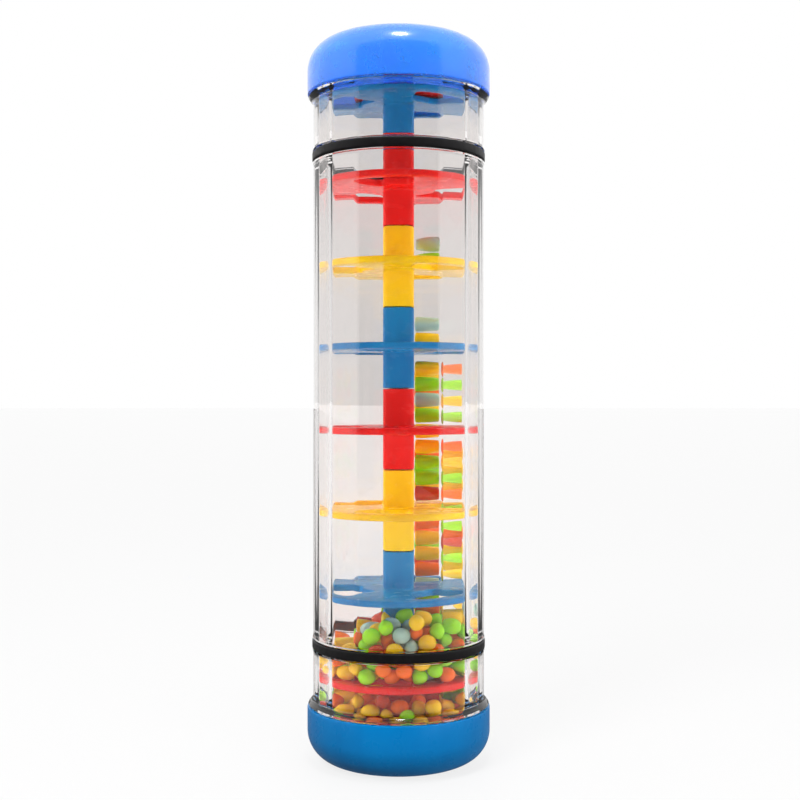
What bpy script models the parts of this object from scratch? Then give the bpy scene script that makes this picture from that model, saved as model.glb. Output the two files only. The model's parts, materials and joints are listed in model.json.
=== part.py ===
"""Rainstick: a clear tube closed by two caps, with eight pierced discs on a centre rod and loose beads.

The model stands upright on its lower cap. The tube's axis is the Z axis, the base is at z = 0, and the front of
the object faces -Y. Angles are measured from +X towards +Y. Everything is in metres.
"""

from math import cos, pi, radians, sin

import bmesh
import bpy

# Overall sizes
TOTAL_HEIGHT = 0.203
TUBE_DIAMETER = 0.0482  # outside of the clear tube
CLEARANCE = 0.0003  # between pieces that touch

# Clear tube: round outside, flat facets inside
FACET_COUNT = 18
FACET_WALL = 0.00224  # wall at the middle of a facet, where it is thickest
FLANGE_WIDTH = 0.0014  # how far the collar beside each cap stands out
FLANGE_HEIGHT = 0.0023
LIP_WIDTH = 0.00025  # the low lips beside each ring groove
LIP_HEIGHT = 0.0012

# Caps
CAP_WALL = 0.0014
CAP_HEIGHT = 0.0154
CAP_END_WALL = 0.002
CAP_ROUND = 0.0088  # radius of the outer edge
CAP_ROUND_STEPS = 6
CAP_LEDGE = 0.0062  # height of the ledge that the tube's end stands on
CAP_LEDGE_WIDTH = 0.0034  # from the bore of the cap to the hollow below the ledge

# Rubber rings
RING_DROP = 0.0329  # from each end of the stick to the middle of its ring
RING_HEIGHT = 0.0028
RING_THICKNESS = 0.0013
RING_PROUD = 0.00035  # how far a ring stands out of the tube

# Discs and their hubs
DISC_COUNT = 8
FIRST_DISC_HEIGHT = 0.0237  # middle of the lowest disc above the base
LAST_DISC_DROP = 0.0175  # middle of the highest disc below the top
DISC_THICKNESS = 0.0019
DISC_GAP = 0.00045  # between a disc's rim and the middle of a facet
HUB_DIAMETER = 0.0095
HUB_BELOW = 0.0112  # hub length from the middle of a disc downwards
TOP_HUB_ABOVE = 0.0014  # hub length from the middle of the highest disc upwards

# Openings that the beads fall through: each is a sector of a ring, and alternate discs are turned half a step
OPENING_COUNT = 3
OPENING_SPAN = 56.0  # degrees
OPENING_RIM = 0.0026  # disc left between an opening and the disc's rim
OPENING_FLOOR = 0.0046  # disc left between an opening and the hub
ODD_DISC_TURN = 15.0  # middle of the first opening on discs 1, 3, 5 and 7
OPENING_STEPS = 6

# Collar that clamps the stack above the highest disc
COLLAR_DIAMETER = 0.0280
COLLAR_THICKNESS = 0.0010
COLLAR_DROP = 0.0090  # top of the collar's hub below the top

# Centre rod
ROD_DIAMETER = 0.0030
SOCKET_DEPTH = 0.0050

# Beads
BEAD_DIAMETER = 0.0044

SEGMENTS = 2 * FACET_COUNT
ROD_SEGMENTS = 16

# Sizes that follow from the ones above
TUBE_R = TUBE_DIAMETER / 2
FACET_R = TUBE_R - FACET_WALL
CAP_BORE_R = TUBE_R + CLEARANCE
CAP_R = CAP_BORE_R + CAP_WALL
CAP_WELL_R = CAP_BORE_R - CAP_LEDGE_WIDTH
DISC_R = FACET_R - DISC_GAP
HUB_R = HUB_DIAMETER / 2
ROD_R = ROD_DIAMETER / 2
BORE_R = ROD_R + CLEARANCE
BEAD_R = BEAD_DIAMETER / 2
OPENING_IN_R = HUB_R + OPENING_FLOOR
OPENING_OUT_R = DISC_R - OPENING_RIM
BEAD_PITCH = BEAD_DIAMETER + CLEARANCE
LANES = {
    "inner": OPENING_IN_R + BEAD_R + CLEARANCE,
    "middle": (OPENING_IN_R + OPENING_OUT_R) / 2,
    "outer": OPENING_OUT_R - BEAD_R - CLEARANCE,
}
LAST_DISC_HEIGHT = TOTAL_HEIGHT - LAST_DISC_DROP
DISC_PITCH = (LAST_DISC_HEIGHT - FIRST_DISC_HEIGHT) / (DISC_COUNT - 1)
STACK_BOTTOM = FIRST_DISC_HEIGHT - HUB_BELOW
STACK_TOP = TOTAL_HEIGHT - COLLAR_DROP

# Colours, linear
CLEAR = (0.90, 0.91, 0.92)
BLACK = (0.012, 0.011, 0.012)
WHITE = (0.80, 0.80, 0.78)
CAP_BLUE = (0.008, 0.165, 0.50)
CAP_AZURE = (0.03, 0.22, 0.90)
DISC_COLOURS = {
    "red": (0.70, 0.02, 0.015),
    "blue": (0.02, 0.22, 0.55),
    "yellow": (0.82, 0.50, 0.01),
}
DISC_ORDER = ("red", "blue", "yellow")
BEAD_COLOURS = {
    "lime": (0.28, 0.62, 0.02),
    "orange": (0.85, 0.16, 0.01),
    "mustard": (0.75, 0.50, 0.01),
    "teal": (0.35, 0.52, 0.45),
    "brick": (0.50, 0.05, 0.02),
}

# Loose beads in columns: each entry is the disc that a column stands on (0 is the lower cap), its lane and angle
# about the axis, and the colours from the bottom up. A column stands between that disc's openings. Most stand below
# an opening of the next disc too and can reach through it, but column_6 and the beads of heap_0 at 75, 195 and 315
# degrees stand below a solid part. The beads of one entry move together.
HEAPS = {
    "heap_0": [
        (0, "middle", 15, "orange lime teal mustard orange lime"),
        (0, "middle", 75, "teal"),
        (0, "middle", 195, "lime"),
        (0, "middle", 255, "mustard orange"),
        (0, "middle", 315, "orange"),
    ],
    "heap_1": [
        (1, "middle", 302, "teal mustard orange"),
        (1, "middle", 328, "teal lime lime"),
    ],
    "column_1": [(1, "outer", 60, "brick lime mustard lime teal orange")],
    "column_2": [(2, "outer", 28, "mustard lime brick lime lime orange")],
    "column_3": [(3, "outer", 60, "brick lime lime mustard mustard lime")],
    "column_4": [(4, "outer", 28, "lime mustard lime")],
    "column_5": [(5, "outer", 60, "mustard teal")],
    "column_6": [(6, "inner", 40, "lime teal")],
    "rain_1": [(0, "middle", 135, "mustard")],
    "rain_2": [(1, "middle", 195, "lime")],
}


def disc_height(number):
    """Middle of disc number 1 to DISC_COUNT."""
    return FIRST_DISC_HEIGHT + (number - 1) * DISC_PITCH


def floor_height(disc):
    """Top face of a disc, or the inside of the lower cap for 0."""
    if disc == 0:
        return CAP_END_WALL
    return disc_height(disc) + DISC_THICKNESS / 2


def clear_scene():
    for item in list(bpy.data.objects):
        bpy.data.objects.remove(item)


def plastic(name, colour, roughness=0.25, metallic=0.0, clear=0.0):
    material = bpy.data.materials.new(name)
    material.use_nodes = True
    shader = material.node_tree.nodes["Principled BSDF"]
    shader.inputs["Base Color"].default_value = (*colour, 1)
    shader.inputs["Roughness"].default_value = roughness
    shader.inputs["Metallic"].default_value = metallic
    shader.inputs["Transmission Weight"].default_value = clear
    return material


def add_mesh_object(name, shape, material, parent=None, place=(0, 0, 0)):
    """Turns a bmesh into an object, shaded smooth with sharp edges kept."""
    mesh = bpy.data.meshes.new(name)
    bmesh.ops.recalc_face_normals(shape, faces=shape.faces)
    shape.to_mesh(mesh)
    shape.free()
    mesh.shade_smooth()
    mesh.set_sharp_from_angle(angle=radians(35))
    mesh.materials.append(material)
    item = bpy.data.objects.new(name, mesh)
    bpy.context.scene.collection.objects.link(item)
    item.location = place
    item.parent = parent
    return item


def add_empty(name, parent=None):
    item = bpy.data.objects.new(name, None)
    bpy.context.scene.collection.objects.link(item)
    item.parent = parent
    return item


def facet_radius(angle):
    """Distance from the axis to the flat-sided inner wall at an angle."""
    step = 2 * pi / FACET_COUNT
    return FACET_R / cos(angle % step - step / 2)


def ring_points(shape, radius, height, segments):
    """One ring of vertices, or a single one on the axis; radius may be a function of the angle."""
    if radius == 0:
        return [shape.verts.new((0, 0, height))]
    points = []
    for i in range(segments):
        angle = 2 * pi * i / segments
        r = radius(angle) if callable(radius) else radius
        points.append(shape.verts.new((r * cos(angle), r * sin(angle), height)))
    return points


def join_rings(shape, first, second, segments):
    for i in range(segments):
        j = (i + 1) % segments
        corners = [first[i % len(first)], first[j % len(first)]]
        corners += [second[j % len(second)], second[i % len(second)]]
        unique = list(dict.fromkeys(corners))
        shape.faces.new(unique)


def turned(profile, segments=SEGMENTS, closed=False):
    """A solid turned about Z from (radius, height) points; closed joins the last point to the first."""
    shape = bmesh.new()
    rings = [ring_points(shape, radius, height, segments) for radius, height in profile]
    for first, second in zip(rings, rings[1:]):
        join_rings(shape, first, second, segments)
    if closed:
        join_rings(shape, rings[-1], rings[0], segments)
    return shape


def upside_down(profile):
    return [(radius, TOTAL_HEIGHT - height) for radius, height in profile]


def tube_end_profile():
    """Outside of the lower half of the tube, from its end up to above the ring groove."""
    flange_start = CAP_HEIGHT + CLEARANCE
    groove_half = RING_HEIGHT / 2 + CLEARANCE
    groove_r = TUBE_R + RING_PROUD - RING_THICKNESS - CLEARANCE
    return [
        (TUBE_R, CAP_LEDGE + CLEARANCE),
        (TUBE_R, flange_start),
        (TUBE_R + FLANGE_WIDTH, flange_start),
        (TUBE_R, flange_start + FLANGE_HEIGHT),
        (TUBE_R, RING_DROP - groove_half - LIP_HEIGHT),
        (TUBE_R + LIP_WIDTH, RING_DROP - groove_half),
        (groove_r, RING_DROP - groove_half),
        (groove_r, RING_DROP + groove_half),
        (TUBE_R + LIP_WIDTH, RING_DROP + groove_half),
        (TUBE_R, RING_DROP + groove_half + LIP_HEIGHT),
    ]


def make_tube(material):
    lower = tube_end_profile()
    upper = upside_down(lower)[::-1]
    inside = [(facet_radius, upper[-1][1]), (facet_radius, lower[0][1])]
    add_mesh_object("clear_tube", turned(lower + upper + inside, closed=True), material)


def cap_profile(boss_top):
    """A cup with a rounded outer edge, a ledge for the tube and a boss whose socket holds the end of the rod."""
    arc = []
    for i in range(CAP_ROUND_STEPS + 1):
        angle = pi / 2 * i / CAP_ROUND_STEPS
        arc.append(
            (CAP_R - CAP_ROUND * (1 - sin(angle)), CAP_ROUND * (1 - cos(angle)))
        )
    socket_floor = boss_top - SOCKET_DEPTH
    return (
        [(0, 0)]
        + arc
        + [
            (CAP_R, CAP_HEIGHT),
            (CAP_BORE_R, CAP_HEIGHT),
            (CAP_BORE_R, CAP_LEDGE),
            (CAP_WELL_R, CAP_LEDGE),
            (CAP_WELL_R, CAP_END_WALL),
            (HUB_R, CAP_END_WALL),
            (HUB_R, boss_top),
            (BORE_R, boss_top),
            (BORE_R, socket_floor),
            (0, socket_floor),
        ]
    )


def make_caps(lower_material, upper_material):
    lower = cap_profile(STACK_BOTTOM - CLEARANCE)
    upper = upside_down(cap_profile(COLLAR_DROP - CLEARANCE))
    add_mesh_object("bottom_cap", turned(lower), lower_material)
    add_mesh_object("top_cap", turned(upper), upper_material)


def make_rings(material):
    """A band with rounded corners in each groove of the tube."""
    outer = TUBE_R + RING_PROUD
    inner = outer - RING_THICKNESS
    half = RING_HEIGHT / 2
    corner = RING_THICKNESS / 3
    section = [
        (inner, corner - half),
        (inner + corner, -half),
        (outer - corner, -half),
        (outer, corner - half),
        (outer, half - corner),
        (outer - corner, half),
        (inner + corner, half),
        (inner, half - corner),
    ]
    heights = {"bottom_ring": RING_DROP, "top_ring": TOTAL_HEIGHT - RING_DROP}
    for name, middle in heights.items():
        profile = [(radius, middle + height) for radius, height in section]
        add_mesh_object(name, turned(profile, closed=True), material)


def hub_and_plate(plate_r, plate_bottom, plate_top, hub_bottom, hub_top):
    """A round plate moulded in one piece with its bored hub."""
    lower = [(BORE_R, hub_bottom), (HUB_R, hub_bottom), (HUB_R, plate_bottom)]
    upper = [(HUB_R, plate_top), (HUB_R, hub_top), (BORE_R, hub_top)]
    if hub_bottom == plate_bottom:
        lower = lower[:1]
    rim = [(plate_r, plate_bottom), (plate_r, plate_top)]
    return turned(lower + rim + upper, closed=True)


def sector_outline(middle):
    """Corners of one opening about the axis, anticlockwise, seen from above."""
    start = radians(middle - OPENING_SPAN / 2)
    step = radians(OPENING_SPAN / OPENING_STEPS)
    angles = [start + i * step for i in range(OPENING_STEPS + 1)]
    outer = [(OPENING_OUT_R * cos(a), OPENING_OUT_R * sin(a)) for a in angles]
    inner = [(OPENING_IN_R * cos(a), OPENING_IN_R * sin(a)) for a in reversed(angles)]
    return outer + inner


def make_opening_cutter(name, turn):
    """Upright bars that cut the same openings through every disc that has this turn."""
    shape = bmesh.new()
    for i in range(OPENING_COUNT):
        outline = sector_outline(turn + i * 360 / OPENING_COUNT)
        bottom = [shape.verts.new((x, y, 0)) for x, y in outline]
        face = shape.faces.new(bottom)
        raised = bmesh.ops.extrude_face_region(shape, geom=[face])["geom"]
        moved = [v for v in raised if isinstance(v, bmesh.types.BMVert)]
        bmesh.ops.translate(shape, vec=(0, 0, TOTAL_HEIGHT), verts=moved)
    cutter = add_mesh_object(name, shape, None)
    cutter.hide_render = True
    cutter.display_type = "WIRE"
    return cutter


def make_discs(materials):
    """The discs, whose hubs stack on the rod, alternate in three colours and in the turn of their openings."""
    half_step = 180 / OPENING_COUNT
    odd_cutter = make_opening_cutter("odd_openings", ODD_DISC_TURN)
    even_cutter = make_opening_cutter("even_openings", ODD_DISC_TURN + half_step)
    hub_above = DISC_PITCH - HUB_BELOW - CLEARANCE
    for number in range(1, DISC_COUNT + 1):
        middle = disc_height(number)
        above = TOP_HUB_ABOVE if number == DISC_COUNT else hub_above
        shape = hub_and_plate(
            DISC_R,
            middle - DISC_THICKNESS / 2,
            middle + DISC_THICKNESS / 2,
            middle - HUB_BELOW,
            middle + above,
        )
        colour = DISC_ORDER[(number - 1) % len(DISC_ORDER)]
        disc = add_mesh_object(f"disc_{number}_{colour}", shape, materials[colour])
        cut = disc.modifiers.new("openings", "BOOLEAN")
        cut.operation = "DIFFERENCE"
        cut.object = odd_cutter if number % 2 else even_cutter


def make_collar(material):
    """The flanged collar on the rod that holds the highest disc down."""
    bottom = LAST_DISC_HEIGHT + TOP_HUB_ABOVE + CLEARANCE
    shape = hub_and_plate(
        COLLAR_DIAMETER / 2, bottom, bottom + COLLAR_THICKNESS, bottom, STACK_TOP
    )
    add_mesh_object("top_collar", shape, material)


def make_rod(material):
    """The rod that carries the stack; each end sits in the socket of a cap."""
    bottom = STACK_BOTTOM - SOCKET_DEPTH
    top = STACK_TOP + SOCKET_DEPTH
    profile = [(0, bottom), (ROD_R, bottom), (ROD_R, top), (0, top)]
    add_mesh_object("centre_rod", turned(profile, segments=ROD_SEGMENTS), material)


def bead_centre(disc, lane, angle, layer):
    height = floor_height(disc) + CLEARANCE + BEAD_R + layer * BEAD_PITCH
    radius = LANES[lane]
    return (radius * cos(radians(angle)), radius * sin(radians(angle)), height)


def add_bead(name, centre, material, parent):
    shape = bmesh.new()
    bmesh.ops.create_icosphere(shape, subdivisions=2, radius=BEAD_R)
    add_mesh_object(name, shape, material, parent, centre)


def make_beads(materials, root):
    """Columns of beads; the columns of one heap hang on one empty."""
    for heap, columns in HEAPS.items():
        group = add_empty(heap + "_beads", root)
        number = 0
        for disc, lane, angle, colours in columns:
            for layer, colour in enumerate(colours.split()):
                number += 1
                name = f"bead_{heap}_{number}_{colour}"
                centre = bead_centre(disc, lane, angle, layer)
                add_bead(name, centre, materials[colour], group)


def main():
    clear_scene()
    root = add_empty("rainstick")
    discs = {name: plastic(name + "_disc", colour) for name, colour in DISC_COLOURS.items()}
    beads = {name: plastic(name + "_bead", colour, 0.15) for name, colour in BEAD_COLOURS.items()}
    make_tube(plastic("clear_plastic", CLEAR, 0.03, clear=1.0))
    make_caps(plastic("bottom_cap", CAP_BLUE, 0.3), plastic("top_cap", CAP_AZURE, 0.25))
    make_rings(plastic("rubber", BLACK, 0.5))
    make_discs(discs)
    make_collar(discs["red"])
    make_rod(plastic("rod", WHITE, 0.3))
    make_beads(beads, root)


main()
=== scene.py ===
"""The looks of the rainstick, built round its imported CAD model. Metres, +Z up, base at z = 0, front at -Y."""

import json
from math import asin, cos, degrees, pi, radians, sin

import bmesh
import bpy
import numpy as np
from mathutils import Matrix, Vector


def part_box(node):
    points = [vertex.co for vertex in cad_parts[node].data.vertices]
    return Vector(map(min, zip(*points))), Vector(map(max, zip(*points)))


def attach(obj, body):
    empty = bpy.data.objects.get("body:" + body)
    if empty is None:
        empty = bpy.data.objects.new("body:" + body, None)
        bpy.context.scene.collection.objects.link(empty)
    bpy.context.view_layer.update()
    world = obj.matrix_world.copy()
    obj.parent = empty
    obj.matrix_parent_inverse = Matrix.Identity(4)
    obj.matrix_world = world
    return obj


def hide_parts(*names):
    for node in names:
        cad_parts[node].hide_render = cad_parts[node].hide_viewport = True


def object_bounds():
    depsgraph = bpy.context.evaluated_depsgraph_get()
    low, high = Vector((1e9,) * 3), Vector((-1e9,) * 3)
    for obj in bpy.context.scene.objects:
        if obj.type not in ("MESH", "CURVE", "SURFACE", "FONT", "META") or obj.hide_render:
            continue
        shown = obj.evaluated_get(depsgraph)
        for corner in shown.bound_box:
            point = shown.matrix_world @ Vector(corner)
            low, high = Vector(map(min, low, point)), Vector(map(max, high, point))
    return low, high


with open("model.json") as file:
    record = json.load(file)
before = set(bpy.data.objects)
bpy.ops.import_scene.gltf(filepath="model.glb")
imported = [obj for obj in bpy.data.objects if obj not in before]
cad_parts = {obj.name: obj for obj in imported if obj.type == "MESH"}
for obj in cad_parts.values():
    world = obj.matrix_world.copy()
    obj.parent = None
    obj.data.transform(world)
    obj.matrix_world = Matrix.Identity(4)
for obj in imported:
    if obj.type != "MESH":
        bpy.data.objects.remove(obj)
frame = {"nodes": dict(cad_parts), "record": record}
CAD_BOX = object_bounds()

ROOT = "shaker_body"
DISCS = sorted(node for node in frame["nodes"] if node.startswith("disc_"))
BEADS = sorted(node for node in frame["nodes"] if node.startswith("bead_"))

GAP = 0.0003  # between pieces that touch

# Places and sizes read from the frame
BASE, TOP = CAD_BOX[0].z, CAD_BOX[1].z
CAP_R = CAD_BOX[1].x
CAP_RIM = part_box("bottom_cap")[1].z - BASE  # height of a cap
TUBE_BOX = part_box("clear_tube")
RING_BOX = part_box("bottom_ring")
DISC_BOXES = [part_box(node) for node in DISCS]
DISC_R = DISC_BOXES[0][1].x
ROD_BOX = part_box("centre_rod")
ROD_R = ROD_BOX[1].x
BEAD_R = (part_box(BEADS[0])[1].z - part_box(BEADS[0])[0].z) / 2
BEAD_PITCH = 2 * BEAD_R + GAP

# Sizes of the pieces that the frame's boxes don't hold
TUBE_R = 0.0241
FACETS = 18
FACET_R = 0.02186
FLANGE_WIDTH = 0.0014  # the tube's collar beside each cap
FLANGE_HEIGHT = 0.0024
FLANGE_CURVE = 0.0016
GROOVE_DEPTH = 0.00125
RING_THICKNESS = 0.0013
RING_ROUND = 0.0006
LIP_WIDTH = 0.00025  # the low lips beside each ring groove
LIP_SLOPE = 0.0012
SOCKET_DEPTH = 0.005  # of the rod in each cap
CAP_WALL = 0.0014
CAP_END_WALL = 0.002
CAP_ROUND = 0.0088
CAP_LEDGE = 0.0062  # the tube's end stands on it
CAP_WELL_R = 0.0210  # hollow below the ledge
CAP_WELL_CORNER = 0.0008
HUB_R = 0.00475
HUB_BELOW = 0.0112
PLATE_HALF = 0.00095
OPENINGS = 3
OPENING_HALF = radians(28)
OPENING_IN_R = 0.00935
OPENING_OUT_R = 0.01881
OPENING_CORNER = 0.0012
MIDDLE_LANE_R = 0.01408
OUTER_LANE_R = 0.01631
BACK_LANE_R = 0.01951  # beads against the wall behind a column
ODD_TURN = radians(15)
COLLAR_THICKNESS = 0.001
EDGE = 0.0002  # broken edge of a small rim
HUB_EDGE = 0.00015
SOFT_EDGE = 0.0004

FINE = 360  # segments round the big turned pieces, a multiple of FACETS


# ---------------------------------------------------------------- mesh tools


def add_piece(name, shape, material, body=ROOT, replaces=(), smooth_angle=35):
    """Makes a bmesh into a piece that rides on a body."""
    mesh = bpy.data.meshes.new(name)
    bmesh.ops.recalc_face_normals(shape, faces=shape.faces)
    shape.to_mesh(mesh)
    shape.free()
    mesh.shade_smooth()
    if smooth_angle:
        mesh.set_sharp_from_angle(angle=radians(smooth_angle))
    mesh.materials.append(material)
    piece = bpy.data.objects.new(name, mesh)
    bpy.context.scene.collection.objects.link(piece)
    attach(piece, body)
    if replaces:
        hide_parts(*replaces)
    return piece


def ring(shape, radius, height, segments):
    """Points round Z at one height; the radius is a number or depends on the angle."""
    if radius == 0:
        return [shape.verts.new((0, 0, height))]
    points = []
    for i in range(segments):
        angle = 2 * pi * i / segments
        r = radius(angle) if callable(radius) else radius
        points.append(shape.verts.new((r * cos(angle), r * sin(angle), height)))
    return points


def bridge(shape, first, second):
    """Faces between two rings, or between a ring and a single point."""
    count = max(len(first), len(second))
    for i in range(count):
        j = (i + 1) % count
        corners = [first[i % len(first)], first[j % len(first)]]
        corners += [second[j % len(second)], second[i % len(second)]]
        shape.faces.new(list(dict.fromkeys(corners)))


def turn(profile, segments=FINE, closed=False):
    """A solid turned about Z from (radius, height) points."""
    shape = bmesh.new()
    rings = [ring(shape, radius, height, segments) for radius, height in profile]
    for first, second in zip(rings, rings[1:]):
        bridge(shape, first, second)
    if closed:
        bridge(shape, rings[-1], rings[0])
    return shape


def arc(centre, radius, start, end, steps):
    """(radius, height) points on an arc, angles in degrees from the +radius direction."""
    points = []
    for i in range(steps + 1):
        angle = radians(start + (end - start) * i / steps)
        points.append((centre[0] + radius * cos(angle), centre[1] + radius * sin(angle)))
    return points


def upside_down(profile):
    return [(radius, BASE + TOP - height) for radius, height in profile]


# ---------------------------------------------------------------- materials


def maths(tree, operation, *values):
    """A math node; each value is a number or another node's output."""
    node = tree.nodes.new("ShaderNodeMath")
    node.operation = operation
    for socket, value in zip(node.inputs, values):
        if isinstance(value, (int, float)):
            socket.default_value = value
        else:
            tree.links.new(value, socket)
    return node.outputs[0]


class Nodes:
    """A short way to build a node tree."""

    def __init__(self, name):
        self.material = bpy.data.materials.new(name)
        self.material.use_nodes = True
        self.tree = self.material.node_tree
        self.shader = self.tree.nodes["Principled BSDF"]
        self.coords = self.tree.nodes.new("ShaderNodeTexCoord").outputs["Object"]

    def set(self, **values):
        for name, value in values.items():
            self.shader.inputs[name.replace("_", " ")].default_value = value

    def link(self, output, name):
        self.tree.links.new(output, self.shader.inputs[name])

    def noise(self, scale, detail=2.0, roughness=0.5, stretch=(1, 1, 1)):
        mapping = self.tree.nodes.new("ShaderNodeMapping")
        mapping.inputs["Scale"].default_value = stretch
        self.tree.links.new(self.coords, mapping.inputs["Vector"])
        noise = self.tree.nodes.new("ShaderNodeTexNoise")
        noise.inputs["Scale"].default_value = scale
        noise.inputs["Detail"].default_value = detail
        noise.inputs["Roughness"].default_value = roughness
        self.tree.links.new(mapping.outputs["Vector"], noise.inputs["Vector"])
        return noise.outputs["Fac"]

    def ramp(self, value, low, high, out_low, out_high):
        remap = self.tree.nodes.new("ShaderNodeMapRange")
        remap.inputs["From Min"].default_value = low
        remap.inputs["From Max"].default_value = high
        remap.inputs["To Min"].default_value = out_low
        remap.inputs["To Max"].default_value = out_high
        self.tree.links.new(value, remap.inputs["Value"])
        return remap.outputs["Result"]

    def blend(self, factor, first, second):
        mix = self.tree.nodes.new("ShaderNodeMix")
        mix.data_type = "RGBA"
        for socket, value in (("A", first), ("B", second)):
            target = [s for s in mix.inputs if s.name == socket and s.type == "RGBA"][0]
            if isinstance(value, tuple):
                target.default_value = (*value, 1)
            else:
                self.tree.links.new(value, target)
        self.tree.links.new(factor, mix.inputs["Factor"])
        return [s for s in mix.outputs if s.type == "RGBA"][0]

    def product(self, first, second):
        return maths(self.tree, "MULTIPLY", first, second)

    def bump(self, value, strength, distance):
        bump = self.tree.nodes.new("ShaderNodeBump")
        bump.inputs["Strength"].default_value = strength
        bump.inputs["Distance"].default_value = distance
        self.tree.links.new(value, bump.inputs["Height"])
        self.link(bump.outputs["Normal"], "Normal")


def moulded_plastic(name, colour, shade, roughness=0.22, glow=0.0, shine=0.5):
    """Glossy coloured plastic: faint flow streaks, smudged gloss and a very slight ripple."""
    n = Nodes(name)
    streaks = n.noise(90, 3, 0.6, (1, 1, 0.25))
    n.link(n.blend(n.ramp(streaks, 0.35, 0.7, 0, 1), colour, shade), "Base Color")
    smudge = n.noise(260, 4, 0.6)
    n.link(n.ramp(smudge, 0.3, 0.75, roughness * 0.8, roughness * 1.5), "Roughness")
    n.bump(n.noise(700, 2), 0.12, 0.0002)
    n.set(IOR=1.5, Specular_IOR_Level=shine)
    if glow:
        n.set(Subsurface_Weight=glow, Subsurface_Scale=0.002)
        n.shader.inputs["Subsurface Radius"].default_value = (1.0, 1.0, 1.0)
    return n.material


def clear_plastic():
    """Polished clear plastic with a trace of warm grey and fine handling marks."""
    n = Nodes("clear_plastic")
    n.set(Base_Color=(0.845, 0.82, 0.81, 1), Transmission_Weight=1.0, IOR=1.5)
    marks = n.noise(420, 5, 0.7, (1, 1, 0.15))
    n.link(n.ramp(marks, 0.55, 0.8, 0.012, 0.05), "Roughness")
    return n.material


def lit_azure_plastic():
    """Translucent azure plastic for the top cap: a coloured, softly clouded wall that lets light through. Its
    blue is partly the cap's own azure and partly painted light: it is lighter than the bottom cap's blue,
    standing for the light that falls on the top from above.
    """
    n = Nodes("lit_azure_plastic")
    cloud = n.noise(60, 3, 0.55)
    # Both azures are lighter than the bottom cap's blue, partly as painted light from above
    n.link(n.blend(n.ramp(cloud, 0.35, 0.65, 0, 1), (0.065, 0.32, 1.0), (0.055, 0.37, 1.0)), "Base Color")
    n.set(Transmission_Weight=0.62, IOR=1.45)
    n.link(n.ramp(n.noise(240, 4, 0.6), 0.3, 0.75, 0.2, 0.32), "Roughness")
    n.set(Coat_Weight=0.6, Coat_Roughness=0.06)
    return n.material


def black_rubber():
    """Satin rubber with a fine grain and paler dust where it is handled."""
    n = Nodes("black_rubber")
    dust = n.noise(300, 5, 0.7)
    dusty = n.blend(n.ramp(dust, 0.5, 0.85, 0, 1), (0.0035, 0.003, 0.0035), (0.010, 0.009, 0.010))
    n.link(dusty, "Base Color")
    n.link(n.ramp(n.noise(900, 3), 0.3, 0.7, 0.38, 0.55), "Roughness")
    n.bump(n.noise(2500, 3, 0.6), 0.25, 0.0001)
    n.set(IOR=1.5, Specular_IOR_Level=0.25)
    return n.material


DISC_PAINT = {
    "red": ((0.82, 0.008, 0.005), (0.68, 0.005, 0.004)),
    "blue": ((0.008, 0.22, 0.52), (0.006, 0.16, 0.42)),
    "yellow": ((0.95, 0.62, 0.002), (0.88, 0.50, 0.002)),
}
BEAD_PAINT = {
    "lime": ((0.36, 0.78, 0.008), (0.26, 0.66, 0.006)),
    "orange": ((0.98, 0.19, 0.004), (0.90, 0.13, 0.003)),
    "mustard": ((0.92, 0.60, 0.006), (0.85, 0.48, 0.004)),
    "teal": ((0.42, 0.60, 0.52), (0.33, 0.50, 0.43)),
    "brick": ((0.60, 0.06, 0.02), (0.45, 0.04, 0.015)),
}


# ---------------------------------------------------------------- tube, caps, rings


def facet_radius(angle):
    """Inner wall of the tube: flat facets whose corners are cut off by one segment on each side."""
    step, cut = 2 * pi / FACETS, 2 * pi / FINE
    off = angle % step - step / 2
    if abs(off) > step / 2 - cut / 2:
        return FACET_R * cos(cut) / cos(step / 2 - cut)
    return FACET_R / cos(off)


def tube_profile_end():
    """Outside of the lower half of the tube with its rounded collar and the two lips of the ring groove."""
    start = TUBE_BOX[0].z
    collar = BASE + CAP_RIM + GAP
    middle = (RING_BOX[0].z + RING_BOX[1].z) / 2
    half = (RING_BOX[1].z - RING_BOX[0].z) / 2 + GAP
    groove = TUBE_R - GROOVE_DEPTH
    lip = TUBE_R + LIP_WIDTH
    return (
        [(TUBE_R - EDGE, start), (TUBE_R, start + EDGE), (TUBE_R, collar)]
        + [(TUBE_R + FLANGE_WIDTH - 0.0003, collar), (TUBE_R + FLANGE_WIDTH, collar + 0.0003)]
        + arc((TUBE_R + FLANGE_CURVE, collar + FLANGE_HEIGHT), FLANGE_CURVE, 245, 180, 6)
        + [(TUBE_R, middle - half - LIP_SLOPE), (lip - 0.0001, middle - half - 0.0003)]
        + [(lip - 0.00002, middle - half - 0.00005), (lip - EDGE, middle - half)]
        + [(groove, middle - half), (groove, middle + half)]
        + [(lip - EDGE, middle + half), (lip - 0.00002, middle + half + 0.00005)]
        + [(lip - 0.0001, middle + half + 0.0003), (TUBE_R, middle + half + LIP_SLOPE)]
    )


def build_tube(material):
    lower = tube_profile_end()
    upper = upside_down(lower)[::-1]
    inside = [(facet_radius, upper[-1][1]), (facet_radius, lower[0][1])]
    shape = turn(lower + upper + inside, closed=True)
    add_piece("tube", shape, material, replaces=["clear_tube"], smooth_angle=12)


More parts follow.
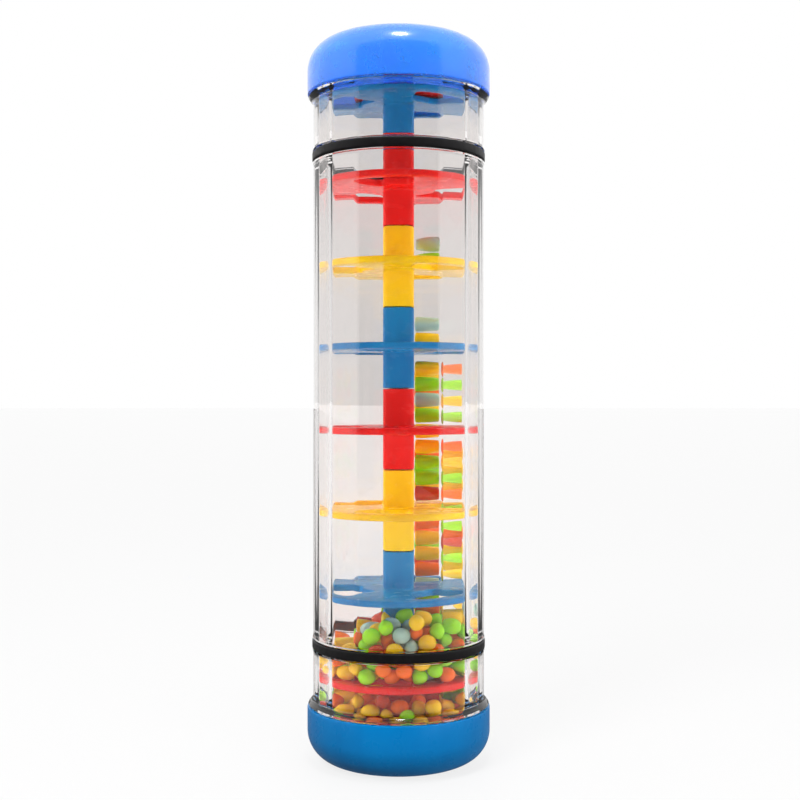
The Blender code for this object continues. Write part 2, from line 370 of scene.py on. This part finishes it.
def cap_profile(boss_top):
    bore = CAP_R - CAP_WALL
    rim = BASE + CAP_RIM
    socket = ROD_R + GAP
    return (
        [(0, BASE), ((CAP_R - CAP_ROUND) * 0.5, BASE)]
        + arc((CAP_R - CAP_ROUND, BASE + CAP_ROUND), CAP_ROUND, 270, 360, 18)
        + [(CAP_R, rim - SOFT_EDGE), (CAP_R - 0.0001, rim - 0.0001), (CAP_R - SOFT_EDGE, rim)]
        + [(bore + EDGE, rim), (bore, rim - EDGE), (bore, BASE + CAP_LEDGE)]
        + [(CAP_WELL_R + SOFT_EDGE, BASE + CAP_LEDGE), (CAP_WELL_R, BASE + CAP_LEDGE - SOFT_EDGE)]
        + [(CAP_WELL_R, BASE + CAP_END_WALL + CAP_WELL_CORNER)]
        + [(CAP_WELL_R - CAP_WELL_CORNER, BASE + CAP_END_WALL)]
        + [(HUB_R + 0.0003, BASE + CAP_END_WALL), (HUB_R, BASE + CAP_END_WALL + 0.0003)]
        + [(HUB_R, boss_top - EDGE), (HUB_R - EDGE, boss_top), (socket, boss_top)]
        + [(socket, boss_top - SOCKET_DEPTH), (0, boss_top - SOCKET_DEPTH)]
    )


def build_caps(lower_material, upper_material):
    stack_bottom = DISC_BOXES[0][0].z
    stack_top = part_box("top_collar")[1].z
    lower = turn(cap_profile(stack_bottom - GAP))
    upper = turn(upside_down(cap_profile(BASE + TOP - stack_top - GAP)))
    add_piece("bottom_cup", lower, lower_material, replaces=["bottom_cap"])
    add_piece("top_cup", upper, upper_material, replaces=["top_cap"])


def build_rubber_ring(name, node, material):
    low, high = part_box(node)
    middle, half, outer = (low.z + high.z) / 2, (high.z - low.z) / 2, high.x
    inner = outer - RING_THICKNESS
    section = []
    corners = ((outer, half, 0), (inner, half, 90), (inner, -half, 180), (outer, -half, 270))
    for radius, height, start in corners:
        centre_r = radius - RING_ROUND if radius == outer else radius + RING_ROUND
        centre_z = height - RING_ROUND if height > 0 else height + RING_ROUND
        section += arc((centre_r, middle + centre_z), RING_ROUND, start, start + 90, 5)
    add_piece(name, turn(section, closed=True), material, replaces=[node], smooth_angle=60)


# ---------------------------------------------------------------- discs


def circle(centre, radius, count):
    return [
        (centre[0] + radius * cos(2 * pi * i / count), centre[1] + radius * sin(2 * pi * i / count))
        for i in range(count)
    ]


def loop_at(shape, points, height):
    return [shape.verts.new((x, y, height)) for x, y in points]


def edges_of(shape, loop):
    return [
        shape.edges.get((a, b)) or shape.edges.new((a, b)) for a, b in zip(loop, loop[1:] + loop[:1])
    ]


def opening_centres(first):
    return [first + 2 * pi * i / OPENINGS for i in range(OPENINGS)]


def opening_outline(middle, grow):
    """A sector of a ring with rounded corners, grown outwards by a little."""
    corner = OPENING_CORNER
    outer_c, inner_c = OPENING_OUT_R - corner, OPENING_IN_R + corner
    outer_a = OPENING_HALF - asin(corner / outer_c)
    inner_a = OPENING_HALF - asin(corner / inner_c)
    side = degrees(OPENING_HALF) + 90
    points = arc((0, 0), OPENING_OUT_R + grow, -degrees(outer_a), degrees(outer_a), 20)
    corners = ((outer_c, outer_a, degrees(outer_a), side), (inner_c, inner_a, side, 180 + degrees(inner_a)))
    right = []
    for radius, angle, start, end in corners:
        right += arc((radius * cos(angle), radius * sin(angle)), corner + grow, start, end, 6)[1:]
    inner = arc((0, 0), OPENING_IN_R - grow, degrees(inner_a), -degrees(inner_a), 14)[1:-1]
    left = [(x, -y) for x, y in reversed(right)]
    turned_points = []
    for x, y in points + right + inner + left[:-1]:
        turned_points.append((x * cos(middle) - y * sin(middle), x * sin(middle) + y * cos(middle)))
    return turned_points


def plate_shape(plate_z, half, hub_low, hub_high, first_opening):
    """A plate with rounded rims and three openings, moulded with a bored hub."""
    shape = bmesh.new()
    edge = min(0.0005, half * 0.7)
    steps = ((edge, 0), (edge * 0.3, edge * 0.3), (0, edge))  # inset from the rim, drop from the face
    outlines = [lambda inset: circle((0, 0), DISC_R - inset, 144)]
    for middle in opening_centres(first_opening):
        outlines.append(lambda inset, m=middle: opening_outline(m, 0.6 * inset))
    top_edges, bottom_edges = [], []
    for outline in outlines:
        loops = [loop_at(shape, outline(inset), plate_z + half - drop) for inset, drop in steps]
        loops += [loop_at(shape, outline(inset), plate_z - half + drop) for inset, drop in reversed(steps)]
        for first, second in zip(loops, loops[1:]):
            bridge(shape, first, second)
        top_edges += edges_of(shape, loops[0])
        bottom_edges += edges_of(shape, loops[-1])
    bore = ROD_R + GAP
    fillet = 0.0006
    top = arc((HUB_R + fillet, plate_z + half + fillet), fillet, 270, 180, 4)
    bottom = arc((HUB_R + fillet, plate_z - half - fillet), fillet, 90, 180, 4)
    if hub_high - plate_z - half < 2 * fillet:
        top = [(HUB_R, plate_z + half)]
    top += [(HUB_R, hub_high - HUB_EDGE), (HUB_R - HUB_EDGE, hub_high), (bore, hub_high)]
    bottom += [(HUB_R, hub_low + HUB_EDGE), (HUB_R - HUB_EDGE, hub_low), (bore, hub_low)]
    rings = {}
    for side, profile in (("top", top), ("bottom", bottom)):
        rings[side] = [loop_at(shape, circle((0, 0), r, 64), z) for r, z in profile]
        for first, second in zip(rings[side], rings[side][1:]):
            bridge(shape, first, second)
    bridge(shape, rings["top"][-1], rings["bottom"][-1])
    for side, edges in (("top", top_edges), ("bottom", bottom_edges)):
        edges += edges_of(shape, rings[side][0])
        bmesh.ops.triangle_fill(shape, use_beauty=True, use_dissolve=False, edges=edges)
    return shape


def build_discs(paints):
    for number, (node, (low, high)) in enumerate(zip(DISCS, DISC_BOXES), 1):
        colour = node.split("_")[2]
        turn_by = ODD_TURN if number % 2 else ODD_TURN + pi / OPENINGS
        shape = plate_shape(low.z + HUB_BELOW, PLATE_HALF, low.z, high.z, turn_by)
        add_piece(node + "_moulding", shape, paints[colour], replaces=[node])


def build_collar(paint):
    """The flanged collar that clamps the stack above the highest disc."""
    low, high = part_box("top_collar")
    edge, bore, fillet = 0.0003, ROD_R + GAP, 0.0005
    face = low.z + COLLAR_THICKNESS
    profile = [(bore, low.z), (high.x - edge, low.z), (high.x, low.z + edge), (high.x, face - edge)]
    profile += [(high.x - edge, face)] + arc((HUB_R + fillet, face + fillet), fillet, 270, 180, 5)
    profile += [(HUB_R, high.z - HUB_EDGE), (HUB_R - HUB_EDGE, high.z), (bore, high.z)]
    shape = turn(profile, 96, closed=True)
    add_piece("collar", shape, paint, replaces=["top_collar"])


def build_rod(material):
    low, high = ROD_BOX
    profile = [(0, low.z), (ROD_R - 0.0003, low.z), (ROD_R, low.z + 0.0003)]
    profile += [(ROD_R, high.z - 0.0003), (ROD_R - 0.0003, high.z), (0, high.z)]
    add_piece("rod", turn(profile, 48), material, replaces=["centre_rod"])


# ---------------------------------------------------------------- beads


# Beads that continue the columns of the frame upwards, colours from the bottom up
COLUMN_TOPS = {
    "column_1": "mustard mustard orange",
    "column_2": "lime mustard orange",
    "column_3": "teal lime mustard",
    "column_4": "orange",
}
COLUMN_BACKS = {"column_1": (1, 66.5), "column_2": (2, 34.5), "column_3": (3, 66.5)}  # lowest disc, degrees
COLUMN_SLIDE = 0.0016
HEAP_COLOURS = "lime orange mustard lime mustard teal orange lime mustard brick".split()
FRONT_COLOURS = "lime mustard lime orange lime".split()  # at the front right of heap_1, with more lime
HEAP_SLIDE = 0.0014  # how far a heap can rise
TRIES = 260  # places tried for each bead of a heap
MOST_BEADS = 1000  # a heap stops well before this
WALL_GAP = 0.00015  # between a loose bead and the hub or tube
BEAD_GAP = 0.00005  # between loose beads
FLOOR_GAP = 0.0001
SLIDE_GAP = 0.0002  # left at the top of a slide
OTHER_COLUMNS = {  # radius and angle of the columns of other bodies, which a heap leaves free
    "heap_0": [(MIDDLE_LANE_R, 135)],
    "heap_1": [
        (MIDDLE_LANE_R, 195),
        (MIDDLE_LANE_R, 135),
        (OUTER_LANE_R, 60),
        (MIDDLE_LANE_R, 15),
        (BACK_LANE_R, 66.5),
    ],
}


def bead_colours():
    rows = frame["record"]["subparts"]
    return {row["node"]: row["material_slot"][5:] for row in rows if row["node"].startswith("bead_")}


def body_of_node():
    bodies = frame["record"]["behaviour"]["bodies"]
    return {node: body for body, nodes in bodies.items() for node in nodes}


def bead_shape(centres, detail=4):
    shape = bmesh.new()
    for centre in centres:
        made = bmesh.ops.create_icosphere(shape, subdivisions=detail, radius=BEAD_R)
        bmesh.ops.translate(shape, vec=centre, verts=made["verts"])
    return shape


def build_frame_beads(paints):
    """A smooth bead on every bead of the frame; returns the centres by body."""
    colours, bodies, centres = bead_colours(), body_of_node(), {}
    for node in BEADS:
        low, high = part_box(node)
        centre = (low + high) / 2
        centres.setdefault(bodies[node], []).append(centre)
        colour = colours[node]
        shape = bead_shape([centre])
        name = node.replace("bead", "ball")
        add_piece(name, shape, paints[colour], bodies[node], [node], smooth_angle=0)
    return centres


def in_opening(x, y):
    """Whether a bead at (x, y) passes freely through an opening of the lowest disc."""
    radius, margin = np.hypot(x, y), BEAD_R + 0.0004
    if not OPENING_IN_R + margin < radius < OPENING_OUT_R - margin:
        return False
    limit = OPENING_HALF - asin(margin / radius)
    angle = np.arctan2(y, x)
    return any(abs((angle - middle + pi) % (2 * pi) - pi) < limit for middle in opening_centres(ODD_TURN))


def pile(start, floor, fits, lanes, seed):
    """Drops beads one by one to the lowest free place; returns the centres of the new ones."""
    rng = np.random.default_rng(seed)
    placed = np.array([tuple(centre) for centre in start])
    lane_points = [(r * cos(radians(a)), r * sin(radians(a))) for r, a in lanes]
    near, far = HUB_R + BEAD_R + WALL_GAP, FACET_R - BEAD_R - WALL_GAP
    width = 2 * BEAD_R + BEAD_GAP
    new = []
    for _ in range(MOST_BEADS):
        best = None
        radii = np.sqrt(rng.uniform(near**2, far**2, TRIES))
        angles = rng.uniform(0, 2 * pi, TRIES)
        xs, ys = radii * np.cos(angles), radii * np.sin(angles)
        apart = np.hypot(xs[:, None] - placed[:, 0], ys[:, None] - placed[:, 1])
        rise = np.sqrt(np.maximum(width**2 - apart**2, 0))
        heights = np.where(apart < width, placed[:, 2] + rise, floor + BEAD_R).max(axis=1)
        for x, y, z in sorted(zip(xs, ys, heights), key=lambda place: place[2]):
            if not fits(x, y, z):
                continue
            if any(np.hypot(x - lx, y - ly) < width + 0.0002 for lx, ly in lane_points):
                continue
            best = (x, y, z)
            break
        if best is None:
            break
        new.append(best)
        placed = np.vstack([placed, best])
    return new


def fits_heap_0(x, y, z):
    """Inside the cap's hollow, and below the lowest disc or level with its top in an opening."""
    plate = DISC_BOXES[0][0].z + HUB_BELOW
    ceiling = plate - HEAP_SLIDE - SLIDE_GAP + (PLATE_HALF if in_opening(x, y) else -PLATE_HALF)
    above_ledge = z - BEAD_R > BASE + CAP_LEDGE + FLOOR_GAP
    return z + BEAD_R < ceiling and (above_ledge or np.hypot(x, y) < CAP_WELL_R - BEAD_R - 0.0009)


def fits_heap_1(x, y, z):
    """The heap leans against the right-hand side, where it reaches the second disc."""
    plate = DISC_BOXES[1][0].z + HUB_BELOW
    slope = 0.75 * min(0, x + 0.002) - 0.12 * max(0, y)
    return z + BEAD_R < plate - PLATE_HALF - HEAP_SLIDE - SLIDE_GAP + slope


def build_heaps(paints, centres):
    """Fills the two lowest chambers with loose beads, joined by colour."""
    plate_top = DISC_BOXES[0][0].z + HUB_BELOW + PLATE_HALF
    heaps = {  # floor, limits and seed of each
        "heap_0": (BASE + CAP_END_WALL + FLOOR_GAP, fits_heap_0, 11),
        "heap_1": (plate_top + FLOOR_GAP, fits_heap_1, 29),
    }
    for body, (floor, fits, seed) in heaps.items():
        new = pile(centres[body], floor, fits, OTHER_COLUMNS[body], seed)
        rng = np.random.default_rng(seed + 1)
        dealt = []
        for x, y, z in new:
            choice = FRONT_COLOURS if x > 0.006 and y < 0 and body == "heap_1" else HEAP_COLOURS
            dealt.append(choice[rng.integers(0, len(choice))])
        for colour in paints:
            mine = [place for place, pick in zip(new, dealt) if pick == colour]
            name = f"{body}_loose_{colour}"
            add_piece(name, bead_shape(mine, 3), paints[colour], body, smooth_angle=0)
        print(body, len(new), "loose beads")


def build_column_backs(paints, centres):
    """Staggered beads against the wall behind each tall column, in every chamber that the column passes."""
    for body, (first_disc, turn_by) in COLUMN_BACKS.items():
        angle = radians(turn_by)
        lowest = min(centre.z for centre in centres[body])
        rng = np.random.default_rng(first_disc)
        for disc in (first_disc, first_disc + 1):
            low = DISC_BOXES[disc - 1][0].z + HUB_BELOW + PLATE_HALF + BEAD_R
            high = DISC_BOXES[disc][0].z + HUB_BELOW - PLATE_HALF - BEAD_R - COLUMN_SLIDE - SLIDE_GAP
            rows = [lowest + (row + 0.5) * BEAD_PITCH for row in range(12)]
            for z in [row for row in rows if low < row < high]:
                colour = HEAP_COLOURS[rng.integers(0, len(HEAP_COLOURS))]
                name = f"{body}_back_{round(1000 * z)}_{colour}"
                shape = bead_shape([(BACK_LANE_R * cos(angle), BACK_LANE_R * sin(angle), z)], 3)
                add_piece(name, shape, paints[colour], body, smooth_angle=0)


def build_column_tops(paints, centres):
    for body, colours in COLUMN_TOPS.items():
        top = max(centres[body], key=lambda centre: centre.z)
        for number, colour in enumerate(colours.split(), 1):
            centre = top + Vector((0, 0, number * BEAD_PITCH))
            name = f"{body}_top_{number}_{colour}"
            add_piece(name, bead_shape([centre]), paints[colour], body, smooth_angle=0)


# ---------------------------------------------------------------- stage


CAMERA_DISTANCE = 0.355  # from the tube's axis
CAMERA_LENS = 56.25
CARD_SIZE = 1.5
CARD_BEHIND = 0.22  # from the camera to the card


def build_camera():
    camera = bpy.data.cameras.new("camera")
    camera.lens = CAMERA_LENS
    camera.sensor_width = 36
    camera.clip_start = 0.01
    item = bpy.data.objects.new("camera", camera)
    bpy.context.scene.collection.objects.link(item)
    item.location = (0.0004, -CAMERA_DISTANCE, (BASE + TOP) / 2)
    item.rotation_euler = (radians(90), 0, 0)
    bpy.context.scene.camera = item
    return item


def stage_plane(name, size, place, turn_to, material):
    shape = bmesh.new()
    bmesh.ops.create_grid(shape, x_segments=1, y_segments=1, size=size / 2)
    mesh = bpy.data.meshes.new(name)
    shape.to_mesh(mesh)
    shape.free()
    plane = bpy.data.objects.new(name, mesh)
    bpy.context.scene.collection.objects.link(plane)
    plane.location = place
    plane.rotation_euler = turn_to
    mesh.materials.append(material)
    return plane


def studio_strength(tree, seen, lighting, inside):
    """Brightness of a studio surface as seen, as it lights the outside, and as it lights the inside."""
    path = tree.nodes.new("ShaderNodeLightPath")
    dull = maths(tree, "MINIMUM", path.outputs["Diffuse Depth"], 1)
    through = maths(tree, "MINIMUM", path.outputs["Transmission Depth"], 1)
    # Light counts as inside where it goes through clear plastic to a dull surface
    behind = maths(tree, "MULTIPLY", through, dull)
    outside = maths(tree, "MULTIPLY_ADD", dull, lighting - seen, seen)
    return maths(tree, "MULTIPLY_ADD", behind, inside - lighting, outside)


def floor_paint():
    """A studio floor whose own glow makes it look nearly as bright as the backdrop."""
    n = Nodes("floor")
    n.set(Base_Color=(0.08, 0.08, 0.08, 1), Roughness=0.7, Specular_IOR_Level=0.1)
    n.set(Emission_Color=(1, 1, 1, 1))
    strength = studio_strength(n.tree, 0.82, 0.06, 3.4)
    path = n.tree.nodes.new("ShaderNodeLightPath")
    # Polished surfaces mirror a darker floor, and the floor seen through glass stays bright
    mirrored = n.product(
        path.outputs["Is Glossy Ray"], n.ramp(path.outputs["Is Transmission Ray"], 0, 1, 1, 0)
    )
    n.link(n.product(strength, n.ramp(mirrored, 0, 1, 1, 0.12)), "Emission Strength")
    return n.material


def dark_card():
    n = Nodes("card")
    n.set(Base_Color=(0.03, 0.03, 0.03, 1), Roughness=0.9, Specular_IOR_Level=0.0)
    return n.material


def add_area(name, place, target, size, power, mirrored=False):
    """A soft light that isn't seen through the plastic, and is seen in polished surfaces only if mirrored."""
    light = bpy.data.lights.new(name, "AREA")
    light.energy = power
    light.shape = "DISK"
    light.size = size
    item = bpy.data.objects.new(name, light)
    bpy.context.scene.collection.objects.link(item)
    item.location = place
    item.rotation_euler = (Vector(target) - Vector(place)).to_track_quat("-Z", "Y").to_euler()
    item.visible_glossy = mirrored
    item.visible_transmission = False
    return item


def build_stage(camera):
    scene = bpy.context.scene
    scene.view_settings.view_transform = "Standard"
    scene.view_settings.look = "None"
    world = bpy.data.worlds.new("studio")
    world.use_nodes = True
    scene.world = world
    background = world.node_tree.nodes["Background"]
    background.inputs["Color"].default_value = (1, 1, 1, 1)
    strength = studio_strength(world.node_tree, 1.0, 1.0, 6.2)
    world.node_tree.links.new(strength, background.inputs["Strength"])
    stage_plane("floor", 30, (0, 0, BASE - 0.0002), (0, 0, 0), floor_paint())
    # A dark card that stays behind the camera keeps the front of the tube free of reflections
    card = stage_plane("card", CARD_SIZE, (0, 0, CARD_BEHIND), (0, 0, 0), dark_card())
    card.parent = camera
    middle = (0, 0, (BASE + TOP) / 2)
    add_area("key", (-0.30, -0.45, 0.55), middle, 0.3, 5)
    add_area("fill", (0.35, -0.40, 0.15), middle, 0.3, 2)
    add_area("spark", (0.01, -0.16, 0.62), (0, 0, TOP), 0.10, 1.2, mirrored=True)


# ---------------------------------------------------------------- everything


def main():
    build_stage(build_camera())
    discs = {
        name: moulded_plastic("disc_" + name, *paint, glow=0.1, shine=0.25)
        for name, paint in DISC_PAINT.items()
    }
    beads = {
        name: moulded_plastic("bead_" + name, *paint, roughness=0.15, glow=0.15, shine=0.4)
        for name, paint in BEAD_PAINT.items()
    }
    # The bottom cap's blue is partly its own colour and partly painted shade: darker than the top cap's,
    # standing for less light reaching the lower cap
    shaded_cap_blue = moulded_plastic("shaded_cap_blue", (0.0005, 0.15, 0.40), (0.0005, 0.13, 0.36), 0.28, 0.1, 0.2)
    rod_white = moulded_plastic("rod_white", (0.8, 0.8, 0.78), (0.72, 0.72, 0.70))
    rubber = black_rubber()
    build_tube(clear_plastic())
    build_caps(shaded_cap_blue, lit_azure_plastic())
    build_rubber_ring("bottom_band", "bottom_ring", rubber)
    build_rubber_ring("top_band", "top_ring", rubber)
    build_discs(discs)
    build_collar(discs["red"])
    build_rod(rod_white)
    centres = build_frame_beads(beads)
    build_heaps(beads, centres)
    build_column_tops(beads, centres)
    build_column_backs(beads, centres)


main()
